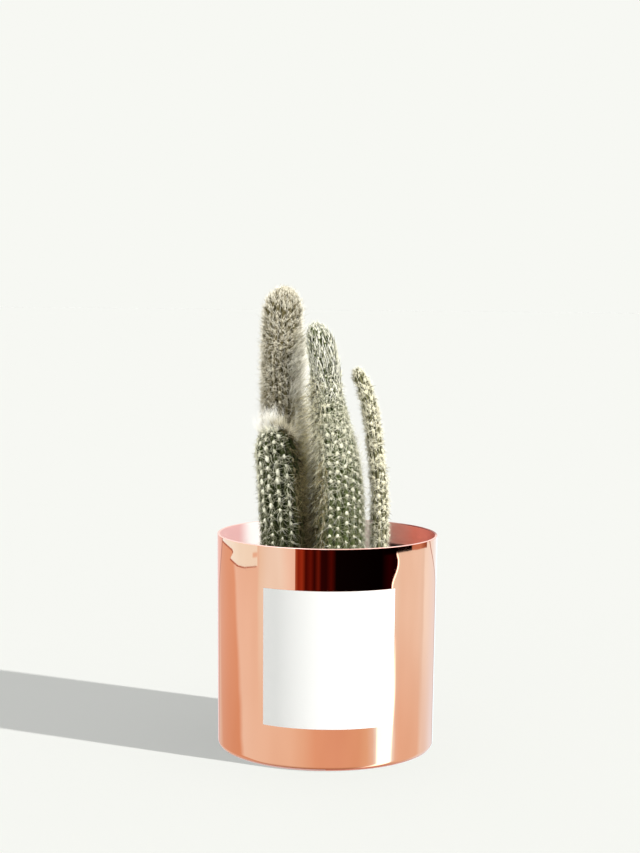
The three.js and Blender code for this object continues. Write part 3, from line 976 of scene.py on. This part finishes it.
# Stout stem in the middle
# Grey-green, with bright cushions in a net of crossing strands. Near its tip the bristles are long
# and combed to a point. Beige hairs veil its shaded left side.

MIDDLE_LIE = {
    "comb": ((0, 3), (22, 1.6), (42, 0.1), (60, -0.5), (90, -0.8), (150, -1.2)),
    "reach": ((0, 0.3), (6, 0.6), (16, 1)),
}

skin = add_skin(middle_stout, groove=(0.01, 0.014, 0.004), crest=(0.062, 0.08, 0.026))
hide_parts(middle_stout.name)

wool = add_wool(
    middle_stout, "wool", size=(0.95, 1.1, 0.7), shadow=(0.42, 0.4, 0.28), felt=(0.82, 0.8, 0.66),
    grown=((0, 0.45), (30, 0.6), (60, 0.95), (90, 0.85), (130, 0.6)),
)

radials = add_bristles(
    middle_stout, "radials", root=(0.16, 0.165, 0.085), tip=(0.77, 0.765, 0.6),
    each=24, length=(2.6, 5.8), rise=(6, 28), thick=0.145, start=0.3, scatter=1.05,
    crowd=((0, 0.1), (36, 0.4), (52, 1), (90, 0.9), (130, 0.5)),
    bright=((0, 1), (72, 0.95), (92, 0.6), (112, 0.3), (150, 0.3)), **MIDDLE_LIE,
)

centrals = add_bristles(
    middle_stout, "centrals", root=(0.62, 0.6, 0.47), tip=(0.92, 0.9, 0.78),
    each=12, length=(0.8, 2.2), rise=(15, 80), thick=0.16, start=0.2,
    crowd=((0, 0.1), (35, 0.45), (55, 1), (150, 1)), bright=((0, 1), (75, 1), (115, 0.5)),
    **MIDDLE_LIE,
)

halo = add_bristles(
    middle_stout, "halo", root=(0.55, 0.55, 0.45), tip=(0.92, 0.91, 0.84), glow=0.04,
    each=3, length=(4.5, 7.5), rise=(25, 55), thick=0.05, bend=-16,
    crowd=((0, 0.3), (40, 0.6), (60, 1), (110, 0.6)), **MIDDLE_LIE,
)

TIP_STRANDS = {
    "comb": ((0, 5), (30, 3.5), (52, 2)),
    "reach": ((0, 0.15), (6, 0.3), (14, 0.5), (32, 1)),
    "bend": -26,
    "start": 0.6,
    "below": (2, 52),
    "joints": 3,
    "scatter": 0.4,
}
tip_strands = add_bristles(
    middle_stout, "tip_strands", root=(0.24, 0.24, 0.18), tip=(0.94, 0.93, 0.84),
    each=4, length=(7, 13), rise=(4, 13), thick=0.2, crowd=((0, 1), (30, 1), (52, 0.2)),
    **TIP_STRANDS,
)

tip_shadow = add_bristles(
    middle_stout, "tip_shadow", root=(0.008, 0.009, 0.005), tip=(0.13, 0.135, 0.09),
    each=3, length=(6, 12), rise=(5, 14), thick=0.21, crowd=((0, 1), (30, 0.9), (52, 0.3)),
    **TIP_STRANDS,
)

veil = add_bristles(
    middle_stout, "veil", root=(0.1, 0.085, 0.04), tip=(0.7, 0.66, 0.47),
    each=14, length=(4, 11), rise=(18, 58), thick=0.13, bend=-14, scatter=1.2, facing=(135, 238),
    below=(34, 150), comb=((34, -0.4), (60, -1.3), (150, -1.8)),
    crowd=((34, 1), (90, 0.9), (150, 0.6)),
    bright=((34, 1.1), (75, 1), (92, 0.75), (108, 0.5), (150, 0.4)),
)

fringe = add_bristles(
    middle_stout, "fringe", root=(0.5, 0.48, 0.39), tip=(0.72, 0.7, 0.6), glow=0.03,
    each=9, length=(5, 10), rise=(25, 60), thick=0.055, bend=-14, facing=(-35, 40), below=(62, 150),
    comb=((0, 0.6), (150, 0.2)),
)

shaded_hair = add_bristles(
    middle_stout, "shaded_hair", root=(0.04, 0.032, 0.012), tip=(0.44, 0.37, 0.18),
    each=13, length=(4, 9), rise=(15, 58), thick=0.12, bend=-14, scatter=1.2, facing=(135, 238),
    below=(75, 150), comb=((75, -1.2), (150, -1.8)),
    bright=((75, 1.1), (95, 0.9), (115, 0.6), (150, 0.5)),
)

middle_pieces = [skin, wool, radials, centrals, halo, tip_strands, tip_shadow, veil, fringe]
middle_pieces += [shaded_hair]
for piece in middle_pieces:
    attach(piece, "root")


# Slim stem at the right
# The youngest column, thin and yellow-olive, with large cream cushions on few ribs. Pale hair makes
# its outline ragged.

SLIM_LIE = {
    "comb": ((0, 1), (15, 0.3), (60, -0.2), (120, -0.7)),
    "reach": ((0, 0.5), (6, 0.8), (12, 1)),
}

skin = add_skin(right_slim, groove=(0.045, 0.043, 0.025), crest=(0.165, 0.16, 0.085))
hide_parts(right_slim.name)

wool = add_wool(
    right_slim, "wool", size=(0.8, 1.1, 0.6), shadow=(0.46, 0.42, 0.28), felt=(0.82, 0.78, 0.6),
)

radials = add_bristles(
    right_slim, "radials", root=(0.24, 0.225, 0.135), tip=(0.94, 0.91, 0.74),
    each=17, length=(2, 4), rise=(15, 50), thick=0.16, start=0.5, scatter=0.6,
    bright=((0, 1.4), (50, 1.25), (85, 0.9), (120, 0.7)), **SLIM_LIE,
)

centrals = add_bristles(
    right_slim, "centrals", root=(0.66, 0.63, 0.48), tip=(0.93, 0.91, 0.78),
    each=7, length=(1, 3.2), rise=(20, 75), thick=0.16, start=0.2, scatter=0.7,
    bright=((0, 1.2), (60, 1.1), (110, 0.5)), **SLIM_LIE,
)

halo = add_bristles(
    right_slim, "halo", root=(0.3, 0.28, 0.18), tip=(0.82, 0.79, 0.65), glow=0.05,
    each=9, length=(2.5, 5.5), rise=(25, 65), thick=0.085, bend=-16, facing=(95, 250), **SLIM_LIE,
)

slim_pieces = [skin, wool, radials, centrals, halo]
for piece in slim_pieces:
    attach(piece, "root")


# Floor
# A plain, matt, off-white surface that the pot stands on. It runs out of sight in every direction.

FLOOR_REACH = 40
FLOOR_COLOUR = (0.928, 0.942, 0.913)


def floor_paint(shade):
    return {"Base Color": (*FLOOR_COLOUR, 1), "Roughness": 1, "Specular IOR Level": 0}


edge = FLOOR_REACH / MM
corners = [[-edge, -edge, 0], [edge, -edge, 0], [edge, edge, 0], [-edge, edge, 0]]
floor = solid("floor", corners, [[0, 1, 2, 3]], [finish("floor_paint", floor_paint)])
floor.visible_glossy = False


# Light
# The polished pot mirrors a pale room: white walls, warm boards, a dark doorway with red curtains
# and a bright strip of window. A low sun from the right lights the pot and the floor. Daylight from
# the right and a soft fill from the left light the plant. Bearings run from the front towards +X.

BACKDROP = (0.93, 0.939, 0.896)
CEILING = (0.8, 0.8, 0.8)
CEILING_FROM = (55, 65)
WALLS = (0.42, 0.425, 0.42)
WALLS_FROM = (-3, 1)
BACK_WALL = (0.95, 0.92, 0.9)
BACK_WALL_FROM = (105, 125)
BACK_WALL_TOP = (20, 30)
FRONT_WALL = (0.85, 0.85, 0.84)
FRONT_WALL_FROM_TO = (-105, 30)
FRONT_WALL_TOP = (22, 34)
FLOOR_SHADE = (0.42, 0.27, 0.2)
FLOOR_SHADE_TOP = (-80, -25)
WOBBLE = 5
WOBBLE_GRAIN = (0.045, 0.7)
SLANT = 2
SLANT_LEVEL = -9.6
SLANTED_UNTIL = (-95, -75)
HIGH_VIEW_FROM = (-16, -10.5)
HIGH_VIEW = (
    (-180, (0.95, 0.9, 0.85)), (-158, (0.9, 0.78, 0.7)), (-152, (0.86, 0.66, 0.56)),
    (-115, (0.87, 0.66, 0.53)), (-110, (0.99, 1.03, 1.04)), (-77, (0.99, 1.05, 1.06)),
    (-74, (1.00, 1.25, 1.33)), (-64, (1.02, 1.36, 1.55)), (-50, (1.03, 1.38, 1.58)),
    (-41, (1.04, 1.24, 1.36)), (-30, (1.00, 1.05, 1.12)), (60, (1.05, 1.4, 1.6)),
    (78, (1.00, 1.26, 1.38)), (84, (1.00, 1.18, 1.25)), (112, (1.01, 1.2, 1.27)),
    (120, (0.96, 1.13, 1.18)), (124, (1.08, 1.38, 1.52)), (140, (1.03, 1.25, 1.36)),
    (160, (0.93, 0.95, 0.95)), (180, (0.95, 0.9, 0.85)),
)
LOW_VIEW = (
    (-180, (0.9, 0.82, 0.76)), (-158, (0.84, 0.7, 0.6)), (-152, (0.8, 0.58, 0.46)),
    (-115, (0.82, 0.58, 0.44)), (-108, (0.99, 1.1, 1.14)), (-38, (0.96, 0.97, 0.92)),
    (-24, (0.92, 0.85, 0.75)), (-10, (0.88, 0.69, 0.56)), (12, (0.85, 0.64, 0.52)),
    (35, (0.88, 0.71, 0.57)), (44, (0.92, 0.85, 0.71)), (51, (0.98, 1.1, 1.18)),
    (56, (1.1, 1.9, 2.5)), (74, (1.1, 1.6, 1.95)), (79, (0.94, 0.94, 0.93)),
    (84, (0.93, 0.87, 0.8)), (114, (0.94, 0.91, 0.84)), (120, (0.98, 1.15, 1.24)),
    (145, (0.98, 1.2, 1.38)), (180, (0.9, 0.82, 0.76)),
)
DOORWAY = (
    (-33, (0.5, 0.16, 0.08)), (-30, (0.26, 0.03, 0.012)), (-26, (0.34, 0.05, 0.02)),
    (-22, (0.06, 0.004, 0.002)), (-17, (0.13, 0.012, 0.006)), (-13, (0.03, 0.002, 0.001)),
    (-9, (0.14, 0.016, 0.008)), (-6, (0.025, 0.002, 0.002)), (-1, (0.02, 0.002, 0.002)),
    (4, (0.07, 0.006, 0.003)), (9, (0.003, 0.001, 0.001)), (58, (0.001, 0, 0)),
    (68, (0.02, 0, 0.001)), (74, (0.01, 0, 0.001)), (100, (0.002, 0, 0)),
)
DOOR_LEFT = (-33.3, -32.9)
DOOR_RIGHT = 70.5
DOOR_WIDENS = (7.5, -10.65, -9.75)
DOOR_NARROWS = (2.5, -9.7, -9.4)
DOOR_HEIGHTS = (-13, 6)
LINTEL_LEVEL = -10.305
LINTEL_SLOPE = 0.0113
LINTEL_FROM_TO = (60, 127)
LINTEL = (
    (60, (0.002, 0, 0)), (97.5, (0.002, 0, 0)), (99, (0.62, 0.34, 0.26)),
    (113, (0.66, 0.36, 0.26)), (122, (0.4, 0.16, 0.09)), (128, (0.3, 0.1, 0.05)),
)
WINDOW = (3.6, 3.6, 3.9)
WINDOW_LEFT = (54, 57)
WINDOW_RIGHT = 73.5
WINDOW_WIDENS = (3.5, -16.5, -14)
WINDOW_TOP = (-14, -12)
STRIP_FROM_TO = (0.3, 1.6)
STRIP_HEIGHTS = (-13, -9.42)
PATCH = (1.07, 1.58, 1.82)
PATCH_EDGE = (0.5, 0.2, 0.14)
PATCH_EDGE_WIDTH = (1.4, 0.035)
PATCH_LEFT = (
    (-9.98, -70), (-9.9, -78), (-9.85, -95), (-9.72, -106), (-9.58, -112), (-9.36, -121),
    (-9.21, -115), (-9.08, -117), (-8.95, -123), (-8.55, -143),
)
PATCH_RIGHT = -77
NOTCH = (0.98, 0.98, 0.95)
NOTCH_FROM_TO = (-83.5, -77)
NOTCH_HEIGHTS = (-9.6, -9.44)
PALE_EDGE = (0.62, 0.44, 0.4)
PALE_LEFT = (0.98, 0.8, 0.8)
PALE_LEFT_UNTIL = -159
PALE_LEFT_WIDENS = (16, -10.4, -8.3)
PALE_RIGHT = (1.05, 1.32, 1.45)
PALE_RIGHT_FROM = 161
PALE_RIGHT_WIDENS = (27, -9.9, -8.4)
SUN_COLOUR = (1, 0.985, 0.96)
LOW_SUN = (64, 24, 3.22, 1.2)
DAYLIGHT = (58, 38, 5, 16)
FILL = (-38, 38, 3.4, 40)


def patch_mask(level, height):
    """1 on the pale patch that the pot mirrors at the left, under its rim."""
    low, high = -150, -70
    stops = [(h, ((edge - low) / (high - low),) * 3) for h, edge in PATCH_LEFT]
    edge = height.ramp(stops) * (high - low) + low
    return (level - edge).step(-0.4, 0.4) * (level - PATCH_RIGHT).until(-0.3, 0.3)


def window_mask(level, height):
    right = WINDOW_RIGHT + height.rise(*WINDOW_WIDENS)
    inside = level.step(*WINDOW_LEFT) * (level - right).until(-1.5, 1.5)
    return inside * height.until(*WINDOW_TOP)


def side_room(level, height):
    """The room from the floor to eye level, as the pot's side mirrors it."""
    across, up = WOBBLE_GRAIN
    spot = level.node("ShaderNodeCombineXYZ", None, {"X": level * across, "Y": height * up})
    wobble = level.node("ShaderNodeTexNoise", None, {"Vector": spot, "Scale": 1}) - 0.5
    slant = (height - SLANT_LEVEL) * SLANT * level.until(*SLANTED_UNTIL)
    bearing = level + WOBBLE * wobble + slant
    view = height.step(*HIGH_VIEW_FROM).mix(bearing.ramp(LOW_VIEW), bearing.ramp(HIGH_VIEW))

    edge_across, edge_up = PATCH_EDGE_WIDTH
    notch = level.between(*NOTCH_FROM_TO, soft=1.5) * height.between(*NOTCH_HEIGHTS, soft=0.04)
    left = level - (height.rise(*PALE_LEFT_WIDENS) + PALE_LEFT_UNTIL)
    right = level - (PALE_RIGHT_FROM - height.rise(*PALE_RIGHT_WIDENS))
    widens = height.rise(*DOOR_WIDENS)
    narrows = height.rise(*DOOR_NARROWS)
    past_door = level - (DOOR_RIGHT + widens - narrows + wobble)
    strip = past_door.between(*STRIP_FROM_TO, soft=0.3) * height.between(*STRIP_HEIGHTS, soft=0.1)
    door = level.step(*DOOR_LEFT) * past_door.until(-0.4, 0.4)
    door = door * height.between(*DOOR_HEIGHTS, soft=0.5)
    over_lintel = height - LINTEL_SLOPE * level - LINTEL_LEVEL + 0.05 * wobble
    lintel = over_lintel.between(0, 6, soft=0.012) * level.between(*LINTEL_FROM_TO, soft=0.5)
    for mask, colour in (
        (patch_mask(level + edge_across, height + edge_up), PATCH_EDGE),
        (patch_mask(level, height), PATCH),
        (notch, NOTCH),
        (left.until(2, 3), PALE_EDGE),
        (left.until(-1, 0), PALE_LEFT),
        (right.step(-3, -2), PALE_EDGE),
        (right.step(0, 1), PALE_RIGHT),
        (window_mask(level, height), WINDOW),
        (strip, WINDOW),
        (door, level.ramp(DOORWAY)),
        (lintel, level.ramp(LINTEL)),
    ):
        view = mask.mix(view, colour)
    return view


def upper_room(level, height):
    """The room above eye level: ceiling, side walls, and brighter walls behind and in front."""
    back = level.maths("ABSOLUTE", level).step(*BACK_WALL_FROM) * height.until(*BACK_WALL_TOP)
    front = level.between(*FRONT_WALL_FROM_TO, soft=10) * height.until(*FRONT_WALL_TOP)
    view = height.step(*CEILING_FROM).mix(WALLS, CEILING)
    return front.mix(back.mix(view, BACK_WALL), FRONT_WALL)


def room_light(world):
    world.use_nodes = True
    world.node_tree.nodes.clear()
    shade = Shade(world.node_tree)
    x, y, z = shade.node("ShaderNodeTexCoord", output="Generated").parts()
    height = z.maths("ARCSINE", z) * math.degrees(1)
    level = x.degrees(0 - y)
    view = height.step(*WALLS_FROM).mix(side_room(level, height), upper_room(level, height))
    view = height.until(*FLOOR_SHADE_TOP).mix(view, FLOOR_SHADE)
    seen = shade.node("ShaderNodeLightPath", None, None, "Is Camera Ray")
    light = shade.node("ShaderNodeBackground", None, {"Color": seen.mix(view, BACKDROP)})
    shade.node("ShaderNodeOutputWorld", None, {"Surface": light})


def add_sun(name, bearing, height, strength, width, lights, shaded_by):
    """A sun that lights only some pieces, and is blocked only by some.

    Its bearing, height and width are in degrees."""
    lamp = bpy.data.lights.new(name, "SUN")
    lamp.energy = strength
    lamp.angle = math.radians(width)
    lamp.color = SUN_COLOUR
    place = bpy.data.objects.new(name, lamp)
    turn = Matrix.Rotation(math.radians(bearing), 4, "Z")
    place.matrix_world = turn @ Matrix.Rotation(math.radians(90 - height), 4, "X")
    bpy.context.scene.collection.objects.link(place)
    for side, pieces in (("receiver_collection", lights), ("blocker_collection", shaded_by)):
        group = bpy.data.collections.new(f"{name}_{side}")
        for piece in pieces:
            group.objects.link(piece)
        setattr(place.light_linking, side, group)


bpy.context.scene.world = bpy.data.worlds.new("room")
room_light(bpy.context.scene.world)
sunlit = back_pieces + middle_pieces + slim_pieces
plant = sunlit + front_pieces
vessel = [pot, label, soil, floor]
add_sun("low_sun", *LOW_SUN, lights=vessel, shaded_by=vessel)
add_sun("daylight", *DAYLIGHT, lights=sunlit, shaded_by=plant + vessel)
add_sun("fill", *FILL, lights=plant + [pot], shaded_by=plant + vessel)
bpy.context.scene.view_settings.view_transform = "Standard"


# Camera
# It looks a little down on the pot from the front, from just under the height of the tallest tip.

CAMERA_PLACE = (-4.6, -901, 243.3)
LOOK_DOWN = 4.35
ROLL = 0.56
FOCAL_PIXELS = 1660
PICTURE_HEIGHT = 853
SENSOR = 36

lens = bpy.data.cameras.new("camera")
lens.sensor_width = SENSOR
lens.lens = SENSOR * FOCAL_PIXELS / PICTURE_HEIGHT
camera = bpy.data.objects.new("camera", lens)
camera.matrix_world = (
    Matrix.Translation([MM * c for c in CAMERA_PLACE])
    @ Matrix.Rotation(math.radians(90 - LOOK_DOWN), 4, "X")
    @ Matrix.Rotation(math.radians(ROLL), 4, "Z")
)
lens.clip_end = 2 * FLOOR_REACH
bpy.context.scene.collection.objects.link(camera)
bpy.context.scene.camera = camera
